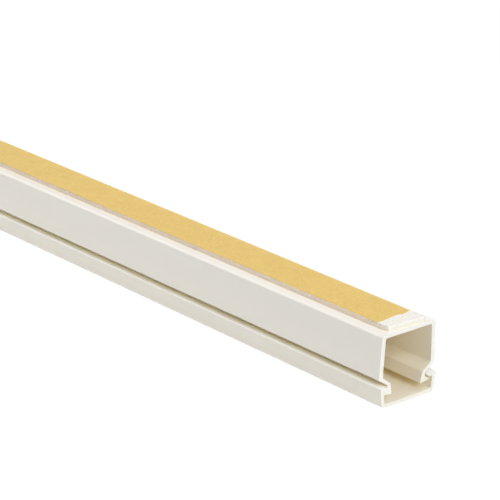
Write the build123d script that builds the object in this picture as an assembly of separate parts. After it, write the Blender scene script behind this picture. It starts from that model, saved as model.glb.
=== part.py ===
from build123d import *
from math import atan2, cos, radians, tan
import os

# Cord cover raceway: a base channel and a cover that snaps onto it, both extruded in ivory PVC,
# with a foam mounting tape along the base's back and a paper liner over its outer adhesive.
# It lies as it would on a floor, cover down and tape up. X runs along the stick, Y across it and
# Z up from the cover's outer face, with the origin under the middle of the whole stick. All sizes
# are in millimetres.

# Stick
length = 400.0
overall_width = 16.0     # across the cover's rim, and across the feet of the base's walls
overall_height = 15.6    # from the cover's outer face to the base's back

# Base channel
side_wall = 1.05         # thickness of the walls
back_wall = 0.67         # thickness of the back
shoulder_wall = 0.82     # thickness of the shoulders and of the feet's necks
back_width = 15.3        # the walls splay from this width at the back to the overall width
reveal = 1.6             # groove left open between the cover's rim and the base's walls
shoulder_drop = 1.63     # drop of a shoulder's outer face from the wall to the foot
shoulder_fall = 1.66     # drop of its inner face
foot_lean = 12.5         # inward lean of a foot's inner face towards its toe, in degrees

# Cover
cover_face = 0.82        # thickness of the flat face
cover_wall = 0.85        # thickness of the sides
cover_height = 4.55      # from the outer face to the rim
cover_draft = 0.55       # each side narrows by this much from the rim to the outer face
cover_ahead = 0.66       # how far the cover has slid out past the base at the near end

# Snap fit: the cover's hooks close over the barbs on the base's feet, which rest low between them
snap_clearance = 0.12    # round a hook's tip, and between a barb's tip and the cover's side
snap_lift = 0.35         # how far the base can rise before its barbs meet the hooks
barb_reach = 1.4         # how far a barb stands out from its foot
barb_angle = 30.0        # slope of a barb's upper flank, in degrees
barb_land = 0.12         # blunt tip of a barb
hook_lead = 1.4          # width of the slope on a hook's top, which leads the barb past it
hook_lead_angle = 13.0   # fall of that slope towards the hook's tip, in degrees
hook_land = 0.3          # blunt tip of a hook
hook_flank = 0.42        # width of a hook's lower flank, from its tip to its flat latch face
hook_angle = 35.0        # slope of that flank, in degrees
toe_lead = 0.5           # rise of a toe's underside towards its barb, which leads the cover on

# Edge rounds of the two extrusions
back_round = 0.5
wall_foot_round = 0.35
inner_round = 0.4
toe_round = 0.2
notch_round = 0.12
tip_round = 0.05
face_round = 1.2
rim_round = 0.3

# Mounting tape and liner
tape_width = 10.3
tape_thickness = 1.0
tape_setback = 1.0       # from each end of the base to the middle of the tape's end
tape_skew = 0.8          # how much further back the tape's near end lies on one side than on the other
liner_thickness = 0.1
liner_bare_end = 3.55    # length of tape that the torn liner leaves bare
tear_depth = 0.6         # how far the torn end wanders along the stick

# The torn end, side to side: share of the half width, and share of the tear's depth
tear_shape = (
    (-1.0, 0.15),
    (-0.75, 0.37),
    (-0.3, 0.0),
    (0.17, -0.48),
    (0.36, -0.32),
    (0.47, 0.17),
    (0.65, 0.12),
    (1.0, -0.65),
)

# The slid cover and the base share the origin evenly along X
cover_middle = cover_ahead / 2
base_middle = -cover_ahead / 2

# Levels of the snap fit, worked down from the cover's rim
half_width = overall_width / 2
barb_slope = tan(radians(barb_angle))
hook_top = cover_height - hook_lead * tan(radians(hook_lead_angle))
hook_bottom = hook_top - hook_land
latch_level = hook_bottom - hook_flank * tan(radians(hook_angle))
flank_top = hook_bottom - snap_lift + snap_clearance * barb_slope
tip_top = flank_top - barb_reach * barb_slope
tip_bottom = tip_top - barb_land
toe_level = tip_bottom - toe_lead
wall_foot = cover_height + reveal
neck_top = wall_foot - shoulder_drop


def cover_outside(level):
    """Half width over the cover's tapering sides at a level."""
    return half_width - cover_draft * (cover_height - level) / cover_height


def cover_inside(level):
    """Half width between the cover's tapering sides at a level."""
    return cover_outside(level) - cover_wall


barb_tip = cover_inside(tip_bottom) - snap_clearance
neck = barb_tip - barb_reach


def wall_inside(level):
    """Half width between the base's splayed walls at a level."""
    splay = half_width - back_width / 2
    climb = (level - wall_foot) / (overall_height - wall_foot)
    return half_width - splay * climb - side_wall


def foot_inside(level):
    """Half width between the base's leaning feet at a level."""
    return neck - shoulder_wall + (level - neck_top) * tan(radians(foot_lean))


def base_corners():
    """Right half of the base's section: each corner's place across, level and round."""
    slope = atan2(wall_foot - neck_top, half_width - neck)
    rise = (half_width - side_wall - neck) * tan(slope)
    shoulder_top = neck_top + rise + shoulder_wall / cos(slope)
    shoulder_end = shoulder_top - shoulder_fall
    ceiling = overall_height - back_wall
    return [
        (back_width / 2, overall_height, back_round),
        (half_width, wall_foot, wall_foot_round),
        (neck, neck_top, notch_round),
        (neck, flank_top, notch_round),
        (barb_tip, tip_top, tip_round),
        (barb_tip, tip_bottom, tip_round),
        (foot_inside(toe_level), toe_level, toe_round),
        (foot_inside(shoulder_end), shoulder_end, inner_round),
        (wall_inside(shoulder_top), shoulder_top, inner_round),
        (wall_inside(ceiling), ceiling, inner_round),
    ]


def cover_corners():
    """Right half of the cover's section: each corner's place across, level and round."""
    hook_tip = neck + snap_clearance
    return [
        (cover_outside(0), 0, face_round),
        (half_width, cover_height, rim_round),
        (hook_tip + hook_lead, cover_height, rim_round),
        (hook_tip, hook_top, tip_round),
        (hook_tip, hook_bottom, tip_round),
        (hook_tip + hook_flank, latch_level, tip_round),
        (cover_inside(latch_level), latch_level, notch_round),
        (cover_inside(cover_face), cover_face, inner_round),
    ]


def extruded_stick(right_half, middle):
    """Full-length extrusion, about a middle along X, of a section that is the same on both sides."""
    left_half = [(-across, level, radius) for across, level, radius in reversed(right_half)]
    corners = right_half + left_half
    points = [(across, level) for across, level, radius in corners]
    radii = [radius for across, level, radius in corners]
    section = make_face(FilletPolyline(*points, radius=radii, close=True))
    return Pos(middle, 0, 0) * extrude(Plane.YZ * section, amount=length / 2, both=True)


def foam_tape():
    """Tape strip lying on the base's back, a little short of both ends and cut askew at the near one."""
    tape_end = length / 2 - tape_setback
    half_tape = tape_width / 2
    half_skew = tape_skew / 2
    near_cut = ((tape_end - half_skew, -half_tape), (tape_end + half_skew, half_tape))
    far_cut = ((-tape_end, half_tape), (-tape_end, -half_tape))
    outline = make_face(Polyline(*near_cut, *far_cut, close=True))
    return Pos(base_middle, 0, overall_height) * extrude(outline, amount=tape_thickness)


def release_liner():
    """Paper strip on the tape, cut square at the far end and torn at the near one."""
    tape_end = length / 2 - tape_setback
    half_tape = tape_width / 2
    tear_line = tape_end - liner_bare_end
    tear = [(tear_line + depth * tear_depth, side * half_tape) for side, depth in tear_shape]
    torn_edge = Spline(*tear)
    cut_edges = Polyline(tear[-1], (-tape_end, half_tape), (-tape_end, -half_tape), tear[0])
    sheet = extrude(make_face([torn_edge, cut_edges]), amount=liner_thickness)
    return Pos(base_middle, 0, overall_height + tape_thickness) * sheet


os.makedirs("parts", exist_ok=True)
export_step(extruded_stick(base_corners(), base_middle), "parts/base_channel.step")
export_step(extruded_stick(cover_corners(), cover_middle), "parts/snap_cover.step")
export_step(foam_tape(), "parts/foam_tape.step")
export_step(release_liner(), "parts/release_liner.step")
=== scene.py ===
import math

import bmesh
import bpy
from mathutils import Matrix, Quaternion, Vector, noise


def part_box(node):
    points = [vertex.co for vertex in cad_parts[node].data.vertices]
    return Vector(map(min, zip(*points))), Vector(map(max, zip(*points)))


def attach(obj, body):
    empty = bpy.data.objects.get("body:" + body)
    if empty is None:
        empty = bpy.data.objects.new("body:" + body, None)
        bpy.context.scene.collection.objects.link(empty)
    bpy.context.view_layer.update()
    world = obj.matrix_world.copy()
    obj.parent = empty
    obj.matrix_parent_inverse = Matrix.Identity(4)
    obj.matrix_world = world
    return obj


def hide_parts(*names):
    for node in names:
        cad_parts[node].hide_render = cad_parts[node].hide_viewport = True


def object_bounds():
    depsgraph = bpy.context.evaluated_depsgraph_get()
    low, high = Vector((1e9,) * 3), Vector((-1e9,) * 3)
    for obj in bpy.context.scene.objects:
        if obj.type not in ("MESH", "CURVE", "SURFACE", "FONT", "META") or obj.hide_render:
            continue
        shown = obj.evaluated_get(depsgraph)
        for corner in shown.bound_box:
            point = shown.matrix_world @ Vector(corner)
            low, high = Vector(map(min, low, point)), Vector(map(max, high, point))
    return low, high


# The looks of a cord cover raceway: satin ivory PVC on the two extrusions, and a foam tape and its
# amber paper liner modelled over the plain strips of the frame. Lengths are in metres.

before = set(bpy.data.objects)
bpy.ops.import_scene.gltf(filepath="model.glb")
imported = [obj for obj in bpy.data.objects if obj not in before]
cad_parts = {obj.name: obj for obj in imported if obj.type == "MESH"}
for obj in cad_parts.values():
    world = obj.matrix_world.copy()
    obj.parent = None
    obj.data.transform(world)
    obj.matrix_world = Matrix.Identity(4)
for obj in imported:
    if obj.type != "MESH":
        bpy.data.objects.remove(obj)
cad_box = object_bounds()
mm = 0.001

# Camera, fitted to the stick's long edges and its cut end in the photograph
camera_azimuth = 47.854
camera_elevation = 20.133
camera_roll = 1.81
camera_distance = 479.35 * mm
camera_lens = 149.45
camera_sensor = 36.0
aim_from_near_end = 69.71 * mm
aim_across = 18.64 * mm
aim_height = 7.85 * mm

# Light: soft boxes, each with its azimuth, elevation, distance, side, power, red and blue
soft_boxes = {
    "soft_box_top": (0.0, 88.0, 0.8, 0.6, 2.6, 0.967, 1.33),
    "soft_box_left": (-58.0, 40.0, 0.8, 0.6, 1.22, 0.98, 1.05),
    "soft_box_low": (-46.0, 14.0, 0.8, 0.6, 1.38, 0.98, 1.05),
    "soft_box_right": (80.0, 35.0, 1.2, 0.9, 9.3, 0.97, 1.08),
    "soft_box_back": (165.0, 50.0, 0.8, 0.6, 1.25, 0.967, 1.1),
}
light_bounces = 32

# Floor
floor_side = 8.0
floor_albedo = 0.9
floor_glow = 0.85            # share of a plain white glow in how the floor looks
floor_white = 1.08           # strength of that glow

# Shape of the foam tape
foam_step = 0.1 * mm         # between the points of its visible faces
slit_step = 0.4 * mm         # between the points along it under the liner
panel_columns = 50           # steps along each of its hidden faces
foam_cell = 0.34 * mm
foam_relief = 0.02 * mm
foam_row = 0.88 * mm
foam_row_relief = 0.02 * mm
slit_wave = 6.0 * mm
slit_wander = 0.05 * mm
foam_edge_round = 0.08 * mm
bare_margin = 0.6 * mm       # of bare foam that is modelled under the torn end
curl_length = 2.5 * mm
curl_width = 2.0 * mm
curl_depth = 0.55 * mm
end_round = 0.35 * mm

# Shape of the release liner
liner_thickness = 0.075 * mm
liner_narrowing = 0.15 * mm
narrowing_length = 90.0 * mm
liner_row = 0.1 * mm
liner_column = 2.0 * mm
liner_slack = 0.025 * mm
liner_ripple = 9.0 * mm
tear_zone = 2.0 * mm         # length of the finely divided end
tear_columns = 14
tear_fibre = 0.25 * mm
tear_ragged = 0.12 * mm

# Where the values of a noise lie: nearly all of them, and most of them
noise_span = (0.3, 0.7)
noise_core = (0.35, 0.65)

# Finish of the PVC, where facing is how squarely a surface lies as a mark starts and as it is full
mottle_size = 7.0 * mm
grain_size = 0.25 * mm
grain_share = 0.6            # of the grain in the tone, and the mottle is the rest
grain_depth = 0.0008 * mm
die_line_width = 0.45 * mm
die_line_length = 250        # in widths
die_line_depth = 0.0006 * mm
saw_mark_size = 0.22 * mm
saw_mark_squeeze = (1, 0.25, 1.6)
saw_mark_depth = 0.02 * mm
sawn_facing = (0.8, 0.95)
# The next two values place a painted highlight on the level tops of the cover's rims.
rim_highlight_facing = (0.6, 0.95)
rim_highlight_depth = 0.7 * mm
satin_roughness = (0.19, 0.22)
sawn_roughness = 0.7
pvc_ior = 1.53

# Finish of the foam
foam_grain_size = 0.3 * mm
foam_grain_share = 0.7
foam_grain_depth = 0.015 * mm
foam_row_shares = {"X": -0.1, "Y": -0.05}
row_wave = 1.2 * mm
row_wander = 10.0            # in radians of a row
foam_tone = (0.24, 0.48)
# The next six values shape the painted shade and warm reflection that the liner casts on the tape's sides:
# its blotches, and how it fades past the torn end.
side_blotch_size = 1.4 * mm
side_blotch_tone = (0.2, 0.55)
side_blotch_tint = (0.7, 1.0)
bare_tint = 0.3              # share of the side's tint that is left past the torn end
tint_past_tear = 2.0 * mm
tint_before_tear = 1.5 * mm
# The next three values place painted glints: pale specks near the top of the tape's sides.
glint_speck_size = 0.45 * mm
glint_speck_tone = (0.6, 0.64)
glint_speck_depth = 0.5 * mm
foam_side_facing = (0.45, 0.7)
end_light_facing = (0.4, 0.9)
# The next two values paint the foam's ends lighter, a painted light that makes them as bright as its top.
end_light_share = 0.6
foam_roughness = 0.7

# Finish of the liner
fibre_size = 0.3 * mm
fibre_squeeze = (0.6, 1, 1)
fibre_share = 0.75           # of the fibres in the tone, and the clouds are the rest
fibre_depth = 0.01 * mm
cloud_size = 3.0 * mm
amber_share = 0.25
# The next four values paint a highlight along the liner's side edges and on its torn end.
edge_highlight_start = 0.5 * mm
edge_highlight_full = 0.15 * mm
edge_highlight_share = 0.7
torn_highlight_facing = (0.3, 0.7)
liner_roughness = (0.42, 0.55)

# Colours, linear
ivory = (0.952, 0.893, 0.71)
ivory_pale = (0.96, 0.904, 0.73)
ivory_cut = (0.975, 0.935, 0.77)
# Painted highlight on the tops of the cover's rims
ivory_rim_highlight = (0.985, 0.965, 0.87)
amber = (0.785, 0.52, 0.11)
# Pale kraft tone, also used for the painted highlight along the liner's edges and torn end
amber_pale = (0.855, 0.595, 0.145)
amber_dark = (0.70, 0.44, 0.078)
foam_white = (0.962, 0.94, 0.79)
# Painted shade in the foam's hollows
foam_hollow_shade = (0.875, 0.805, 0.59)
# Painted light on the foam's ends
foam_end_painted_light = (0.97, 0.95, 0.84)
# Painted shade and warm reflection from the liner on the foam's sides
foam_side_painted_shade = (0.87, 0.725, 0.57)
# Painted glints on the foam's sides
foam_glint_white = (0.98, 0.97, 0.94)


def span(start, end, step):
    """Evenly spaced places from start to end, about one step apart."""
    count = max(1, round(abs(end - start) / step))
    return [start + (end - start) * i / count for i in range(count + 1)]


def ripple(place, size):
    """Smooth noise from 0 to 1 whose waves are about one size long."""
    return 0.5 + 0.5 * noise.noise(place / size)


def add_piece(name, mesh, node):
    """Makes the mesh a piece that rides on the base and stands for a node of the frame."""
    data = bpy.data.meshes.new(name)
    mesh.to_mesh(data)
    mesh.free()
    piece = bpy.data.objects.new(name, data)
    bpy.context.scene.collection.objects.link(piece)
    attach(piece, "base")
    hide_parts(node)
    return piece


def add_faces(mesh, rows):
    """Four-sided faces between neighbouring rows of points."""
    for row, following in zip(rows, rows[1:]):
        for corners in zip(row, row[1:], following[1:], following):
            mesh.faces.new(corners)


def near_edge(node):
    """A strip's near end in the frame: pairs of a place across the tape and one along it."""
    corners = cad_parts[node].data.vertices
    return sorted({(corner.co.y, corner.co.x) for corner in corners if corner.co.x > 0})


def place_along(across, edge):
    """Where a strip's near end lies at a place across the tape."""
    for (y0, x0), (y1, x1) in zip(edge, edge[1:]):
        if across <= y1 and y1 > y0:
            return x0 + (x1 - x0) * (across - y0) / (y1 - y0)
    return edge[-1][1]


def foam_surface(point, low, high):
    """Where a point of the plain strip lies once the foam's cells and the slitting knife have marked it."""
    near = foam_step / 10
    row = 0.5 + 0.5 * math.cos(2 * math.pi * point.x / foam_row)
    cells = foam_relief * ripple(point, foam_cell)
    climb = max(0.0, point.z - high.z + foam_edge_round)
    rounding = foam_edge_round - math.sqrt(foam_edge_round ** 2 - min(climb, foam_edge_round) ** 2)
    wander = slit_wander * ripple(Vector((point.x, point.y, 0)), slit_wave)
    moved = point.copy()
    if abs(point.z - high.z) < near:
        moved.z -= cells + foam_row_relief * row
    for axis, slit in (("x", 0.0), ("y", wander)):
        place = getattr(point, axis)
        if abs(place - getattr(low, axis)) < near:
            setattr(moved, axis, place + cells + rounding + slit)
        if abs(place - getattr(high, axis)) < near:
            setattr(moved, axis, place - cells - rounding - slit)
    return moved


def askew(point, bare, low, high, edge):
    """A point of the square strip, moved to its skewed and rounded near cut, where one corner curls in."""
    share = max(0.0, (point.x - bare) / (high.x - bare))
    curl = max(0.0, (point.x - high.x + curl_length) / curl_length) ** 2
    fade = max(0.0, 1 - (point.y - low.y) / curl_width)
    skew = share * (place_along(point.y, edge) - high.x)
    reach = min(end_round, max(0.0, point.x - high.x + end_round))
    sink = end_round - math.sqrt(end_round ** 2 - reach ** 2)
    fall = sink * (point.z - low.z) / (high.z - low.z)
    return point + Vector((skew, curl_depth * curl * fade, -fall))


def foam_tape():
    """Closed strip of foam, finely modelled on its sides, its ends and the top that is left bare."""
    low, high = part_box("foam_tape")
    edge = near_edge("foam_tape")
    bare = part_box("release_liner")[1].x - bare_margin - tear_zone
    covered = span(low.x, bare, slit_step)
    uncovered = span(bare, high.x, foam_step)
    along = covered + uncovered[1:]
    across = span(low.y, high.y, foam_step)
    up = span(low.z, high.z, foam_step)
    mesh = bmesh.new()
    corners = {}

    def corner(x, y, z):
        key = (round(x / foam_step, 2), round(y / foam_step, 2), round(z / foam_step, 2))
        if key not in corners:
            marked = foam_surface(Vector((x, y, z)), low, high)
            corners[key] = mesh.verts.new(askew(marked, bare, low, high, edge))
        return corners[key]

    def hidden_panels(places, level):
        for start in range(0, len(places) - 1, panel_columns):
            part = places[start:start + panel_columns + 1]
            outline = [corner(x, low.y, level) for x in part]
            if part[-1] == places[-1]:
                outline += [corner(part[-1], y, level) for y in across[1:-1]]
            outline += [corner(x, high.y, level) for x in reversed(part)]
            if part[0] == places[0]:
                outline += [corner(part[0], y, level) for y in reversed(across[1:-1])]
            mesh.faces.new(outline)

    for side in (low.y, high.y):
        add_faces(mesh, [[corner(x, side, z) for z in up] for x in along])
    for end in (low.x, high.x):
        add_faces(mesh, [[corner(end, y, z) for z in up] for y in across])
    add_faces(mesh, [[corner(x, y, high.z) for y in across] for x in uncovered])
    hidden_panels(covered, high.z)
    hidden_panels(along, low.z)
    bmesh.ops.recalc_face_normals(mesh, faces=mesh.faces)
    for face in mesh.faces:
        face.smooth = len(face.verts) == 4
    piece = add_piece("foam_mounting_tape", mesh, "foam_tape")
    piece.data.materials.append(foam_material())


def release_liner():
    """Thin paper sheet that ripples a little on the tape and ends in the ragged tear."""
    low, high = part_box("release_liner")
    edge = near_edge("release_liner")
    join = min(x for y, x in edge) - tear_zone
    straight = span(low.x, join, liner_column)
    mesh = bmesh.new()
    rows = []
    for y in span(low.y, high.y, liner_row):
        end = place_along(y, edge) - tear_ragged * ripple(Vector((0, y, 0)), tear_fibre)
        torn = [join + (end - join) * i / tear_columns for i in range(1, tear_columns + 1)]
        row = []
        for x in straight + torn:
            level = high.z - liner_slack * ripple(Vector((x, y, 0)), liner_ripple)
            pulled = max(0.0, (x - high.x + narrowing_length) / narrowing_length)
            across = y * (1 - pulled * liner_narrowing / high.y)
            row.append(mesh.verts.new((x, across, level)))
        rows.append(row)
    add_faces(mesh, rows)
    for face in mesh.faces:
        face.smooth = True
    piece = add_piece("paper_release_liner", mesh, "release_liner")
    sheet = piece.modifiers.new("paper_thickness", "SOLIDIFY")
    sheet.thickness = liner_thickness
    sheet.offset = -1
    piece.data.materials.append(liner_material())


def add_node(tree, kind, settings, inputs):
    """Adds a shader node, with its settings and with a value or a feeding socket for each named input."""
    node = tree.nodes.new(kind)
    for name, value in settings.items():
        setattr(node, name, value)
    for name, source in inputs.items():
        if isinstance(source, bpy.types.NodeSocket):
            tree.links.new(source, node.inputs[name])
        else:
            node.inputs[name].default_value = source
    return node


def new_material(name):
    """A new material with its node tree and its surface shader."""
    material = bpy.data.materials.new(name)
    material.use_nodes = True
    tree = material.node_tree
    return material, tree, tree.nodes["Principled BSDF"]


def solid(colour):
    """An opaque colour."""
    return (*colour, 1.0)


def stretched(tree, place, factors):
    """A place with each of its axes multiplied."""
    node = add_node(tree, "ShaderNodeVectorMath", {"operation": "MULTIPLY"}, {0: place, 1: factors})
    return node.outputs[0]


def millimetres(tree):
    """Place on the piece in millimetres, in the frame's axes."""
    place = tree.nodes.new("ShaderNodeTexCoord")
    return stretched(tree, place.outputs["Object"], (1 / mm,) * 3)


def in_mm(*lengths):
    """Lengths in the millimetres that places on a piece have."""
    return [length / mm for length in lengths]


def noise_value(tree, place, size, detail=2.0):
    """Noise from 0 to 1 with features of about that size."""
    inputs = {"Vector": place, "Scale": mm / size, "Detail": detail}
    return add_node(tree, "ShaderNodeTexNoise", {}, inputs).outputs[0]


def math_value(tree, operation, *values):
    """Result of an operation on numbers or on number sockets."""
    node = add_node(tree, "ShaderNodeMath", {"operation": operation}, dict(enumerate(values)))
    return node.outputs[0]


def shared(tree, share, first, second):
    """A share of one value with the rest of another."""
    rest = math_value(tree, "MULTIPLY", second, 1 - share)
    return math_value(tree, "MULTIPLY_ADD", first, share, rest)


def ranged(tree, value, limits, results=(0.0, 1.0)):
    """A value mapped from between two limits to between two results, and held there."""
    (start, end), (low, high) = limits, results
    inputs = {"Value": value, "From Min": start, "From Max": end, "To Min": low, "To Max": high}
    return add_node(tree, "ShaderNodeMapRange", {}, inputs).outputs[0]


def blended(tree, factor, first, second):
    """Colour between two colours, or between colour sockets."""
    node = add_node(tree, "ShaderNodeMix", {"data_type": "RGBA"}, {0: factor, 6: first, 7: second})
    return node.outputs[2]


def bumped(tree, height, depth, normal=None):
    """Normal of a relief whose height from 0 to 1 stands for that depth."""
    inputs = {"Height": height, "Distance": depth, "Strength": 1.0}
    if normal is not None:
        inputs["Normal"] = normal
    return add_node(tree, "ShaderNodeBump", {}, inputs).outputs[0]


def axis_of(tree, vector, axis):
    """One axis of a vector."""
    return add_node(tree, "ShaderNodeSeparateXYZ", {}, {0: vector}).outputs[axis]


def facing(tree, axis):
    """How squarely the surface faces along one of the frame's axes, from 0 to 1."""
    normal = tree.nodes.new("ShaderNodeTexCoord").outputs["Normal"]
    return math_value(tree, "ABSOLUTE", axis_of(tree, normal, axis))


def cover_rim_highlight(tree, place):
    """Mask of a painted highlight: 1 on the level faces along the top of the cover's rims, fading to 0
    around them.
    """
    rim_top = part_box("snap_cover")[1].z
    height = axis_of(tree, place, "Z")
    high_up = ranged(tree, height, in_mm(rim_top - rim_highlight_depth, rim_top - rim_highlight_depth / 2))
    below = ranged(tree, height, in_mm(rim_top + rim_highlight_depth / 4, rim_top))
    level = ranged(tree, facing(tree, "Z"), rim_highlight_facing)
    return math_value(tree, "MULTIPLY", math_value(tree, "MULTIPLY", high_up, below), level)


def pvc_material():
    """Satin ivory PVC with faint die lines along it, paler on sawn ends, and with a painted highlight along
    the tops of the cover's rims.
    """
    material, tree, surface = new_material("satin_ivory_pvc")
    place = millimetres(tree)
    mottle = noise_value(tree, place, mottle_size, detail=3.0)
    drawn_out = stretched(tree, place, (1 / die_line_length, 1, 1))
    lines = noise_value(tree, drawn_out, die_line_width, detail=3.0)
    grain = noise_value(tree, place, grain_size)
    sawn = ranged(tree, facing(tree, "X"), sawn_facing)
    teeth = noise_value(tree, stretched(tree, place, saw_mark_squeeze), saw_mark_size)
    tone = ranged(tree, shared(tree, grain_share, grain, mottle), noise_core)
    wall = blended(tree, tone, solid(ivory), solid(ivory_pale))
    # The tops of the cover's rims get a painted highlight in a paler ivory.
    skin_colour = blended(tree, cover_rim_highlight(tree, place), wall, solid(ivory_rim_highlight))
    tree.links.new(blended(tree, sawn, skin_colour, solid(ivory_cut)), surface.inputs["Base Color"])
    satin = ranged(tree, lines, noise_span, satin_roughness)
    rough = add_node(tree, "ShaderNodeMix", {"data_type": "FLOAT"}, {0: sawn, 2: satin, 3: sawn_roughness})
    tree.links.new(rough.outputs[0], surface.inputs["Roughness"])
    skin = bumped(tree, lines, die_line_depth, normal=bumped(tree, grain, grain_depth))
    relief = bumped(tree, math_value(tree, "MULTIPLY", teeth, sawn), saw_mark_depth, normal=skin)
    tree.links.new(relief, surface.inputs["Normal"])
    surface.inputs["IOR"].default_value = pvc_ior
    return material


def foam_tones(tree, place, cells):
    """Pale cells and painted shade in the hollows between them, in rows that wander along and across the
    tape.
    """
    tones = math_value(tree, "MULTIPLY", cells, foam_grain_share)
    for axis, share in foam_row_shares.items():
        turns = math_value(tree, "MULTIPLY", axis_of(tree, place, axis), 2 * math.pi * mm / foam_row)
        turned = math_value(tree, "MULTIPLY_ADD", noise_value(tree, place, row_wave), row_wander, turns)
        tones = math_value(tree, "MULTIPLY_ADD", math_value(tree, "COSINE", turned), share, tones)
    return blended(tree, ranged(tree, tones, foam_tone), solid(foam_hollow_shade), solid(foam_white))


def foam_side(tree, place, bare_colour):
    """Foam's side with painted shade and warm reflection from the liner, in blotches, with pale specks as
    painted glints near its top, and with less painted shade past the liner's torn end.
    """
    foam_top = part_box("foam_tape")[1].z
    upper = ranged(tree, axis_of(tree, place, "Z"), in_mm(foam_top - glint_speck_depth, foam_top))
    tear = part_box("release_liner")[1].x
    tint_fade = in_mm(tear + tint_past_tear, tear - tint_before_tear)
    covered = ranged(tree, axis_of(tree, place, "X"), tint_fade, (bare_tint, 1.0))
    # Painted shade and warm reflection from the liner, in blotches, strongest where the liner covers the
    # tape.
    blotches = ranged(tree, noise_value(tree, place, side_blotch_size, detail=3.0), side_blotch_tone, side_blotch_tint)
    tinted = blended(tree, math_value(tree, "MULTIPLY", blotches, covered), bare_colour, solid(foam_side_painted_shade))
    # Painted glints near the top of the side.
    glint_specks = ranged(tree, noise_value(tree, place, glint_speck_size, detail=1.0), glint_speck_tone)
    return blended(tree, math_value(tree, "MULTIPLY", glint_specks, upper), tinted, solid(foam_glint_white))


def foam_material():
    """White foam with an open grain, with painted shade and warm reflection from the liner along the edges
    that the knife left under it, and painted light on its ends.
    """
    material, tree, surface = new_material("white_foam_tape")
    place = millimetres(tree)
    cells = noise_value(tree, place, foam_grain_size)
    top = foam_tones(tree, place, cells)
    # The ends are painted lighter, a painted light.
    end = ranged(tree, facing(tree, "X"), end_light_facing, (0.0, end_light_share))
    side = ranged(tree, facing(tree, "Y"), foam_side_facing)
    cut = blended(tree, end, top, solid(foam_end_painted_light))
    colour = blended(tree, side, cut, foam_side(tree, place, top))
    tree.links.new(colour, surface.inputs["Base Color"])
    tree.links.new(bumped(tree, cells, foam_grain_depth), surface.inputs["Normal"])
    surface.inputs["Roughness"].default_value = foam_roughness
    return material


def liner_material():
    """Amber kraft paper with short fibres along it, a slight gloss from its release coating, and a painted
    highlight along its side edges and torn end.
    """
    material, tree, surface = new_material("amber_kraft_liner")
    place = millimetres(tree)
    fibres = noise_value(tree, stretched(tree, place, fibre_squeeze), fibre_size, detail=3.0)
    clouds = noise_value(tree, place, cloud_size, detail=3.0)
    pulp = ranged(tree, shared(tree, fibre_share, fibres, clouds), noise_core)
    body = blended(tree, pulp, solid(amber_dark), solid(amber_pale))
    toned = blended(tree, amber_share, body, solid(amber))
    # Painted highlight along the side edges and on the torn end.
    half_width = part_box("release_liner")[1].y
    off_middle = math_value(tree, "ABSOLUTE", axis_of(tree, place, "Y"))
    edge_fade = in_mm(half_width - edge_highlight_start, half_width - edge_highlight_full)
    torn = ranged(tree, facing(tree, "X"), torn_highlight_facing)
    rim = math_value(tree, "MAXIMUM", ranged(tree, off_middle, edge_fade), torn)
    painted_edge_highlight = math_value(tree, "MULTIPLY", rim, edge_highlight_share)
    tree.links.new(blended(tree, painted_edge_highlight, toned, solid(amber_pale)), surface.inputs["Base Color"])
    tree.links.new(ranged(tree, fibres, noise_span, liner_roughness), surface.inputs["Roughness"])
    tree.links.new(bumped(tree, fibres, fibre_depth), surface.inputs["Normal"])
    return material


def dress_extrusions():
    """Gives the base and the cover their PVC."""
    material = pvc_material()
    for name in ("base_channel", "snap_cover"):
        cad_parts[name].data.materials[0] = material


def seen_directly(tree):
    """1 for a ray from the camera, a mirror or a glass, and 0 for light that falls on the object."""
    path = tree.nodes.new("ShaderNodeLightPath")
    mirror = math_value(tree, "MAXIMUM", path.outputs["Is Glossy Ray"], path.outputs["Is Transmission Ray"])
    return math_value(tree, "MAXIMUM", path.outputs["Is Camera Ray"], mirror)


def floor_material():
    """Pale floor that looks white and still takes a soft shadow."""
    material, tree, surface = new_material("pale_floor")
    tree.nodes.remove(surface)
    paint = add_node(tree, "ShaderNodeBsdfDiffuse", {}, {"Color": solid((floor_albedo,) * 3)})
    glow = add_node(tree, "ShaderNodeEmission", {}, {"Strength": floor_white})
    share = math_value(tree, "MULTIPLY", seen_directly(tree), floor_glow)
    mixed = add_node(tree, "ShaderNodeMixShader", {}, {0: share, 1: paint.outputs[0], 2: glow.outputs[0]})
    tree.links.new(mixed.outputs[0], tree.nodes["Material Output"].inputs["Surface"])
    return material


def add_floor():
    """The level floor that the cover's outer face lies on."""
    bpy.ops.mesh.primitive_plane_add(size=floor_side, location=(0, 0, cad_box[0].z))
    floor = bpy.context.object
    floor.name = "floor"
    floor.data.materials.append(floor_material())


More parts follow.
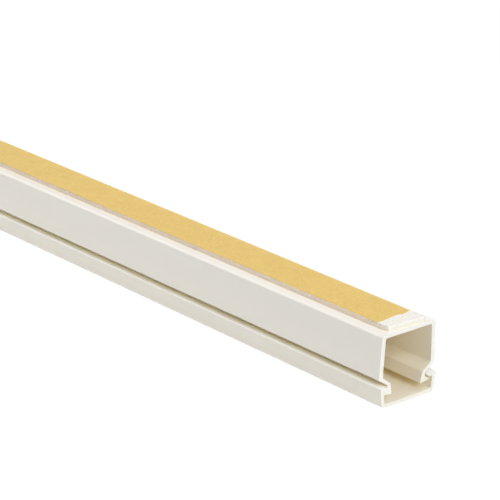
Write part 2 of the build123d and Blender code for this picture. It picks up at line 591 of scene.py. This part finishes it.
def add_room():
    """A white surrounding that is seen, also in gloss, and sheds no light of its own."""
    world = bpy.data.worlds.new("white_room")
    world.use_nodes = True
    tree = world.node_tree
    background = tree.nodes["Background"]
    background.inputs["Color"].default_value = (1, 1, 1, 1)
    tree.links.new(seen_directly(tree), background.inputs["Strength"])
    bpy.context.scene.world = world


def direction_from(azimuth, elevation):
    """Unit vector from the stick towards a place at that bearing, where azimuth 0 is on the -Y side."""
    turn = math.radians(azimuth)
    lift = math.radians(elevation)
    return Vector((math.sin(turn) * math.cos(lift), -math.cos(turn) * math.cos(lift), math.sin(lift)))


def look_at(item, aim, bearing, distance):
    """Puts a camera or lamp at a distance from its aim, turned towards it."""
    item.location = aim + bearing * distance
    item.rotation_mode = "QUATERNION"
    item.rotation_quaternion = (-bearing).to_track_quat("-Z", "Y")


def add_soft_boxes(aim):
    """Square lamps around the aim."""
    for name, (azimuth, elevation, distance, side, power, red, blue) in soft_boxes.items():
        data = bpy.data.lights.new(name, "AREA")
        data.size = side
        data.energy = power
        data.color = (red, 1.0, blue)
        lamp = bpy.data.objects.new(name, data)
        bpy.context.scene.collection.objects.link(lamp)
        look_at(lamp, aim, direction_from(azimuth, elevation), distance)


def add_camera(aim):
    """The photograph's view of the stick."""
    data = bpy.data.cameras.new("camera")
    data.lens = camera_lens
    data.sensor_width = camera_sensor
    camera = bpy.data.objects.new("camera", data)
    bpy.context.scene.collection.objects.link(camera)
    look_at(camera, aim, direction_from(camera_azimuth, camera_elevation), camera_distance)
    camera.rotation_quaternion @= Quaternion((0, 0, 1), math.radians(camera_roll))
    bpy.context.scene.camera = camera


aim_point = Vector((cad_box[1].x - aim_from_near_end, aim_across, cad_box[0].z + aim_height))
dress_extrusions()
foam_tape()
release_liner()
add_floor()
add_room()
add_soft_boxes(aim_point)
add_camera(aim_point)
bpy.context.scene.cycles.max_bounces = light_bounces
bpy.context.scene.cycles.diffuse_bounces = light_bounces
bpy.context.scene.view_settings.view_transform = "Standard"
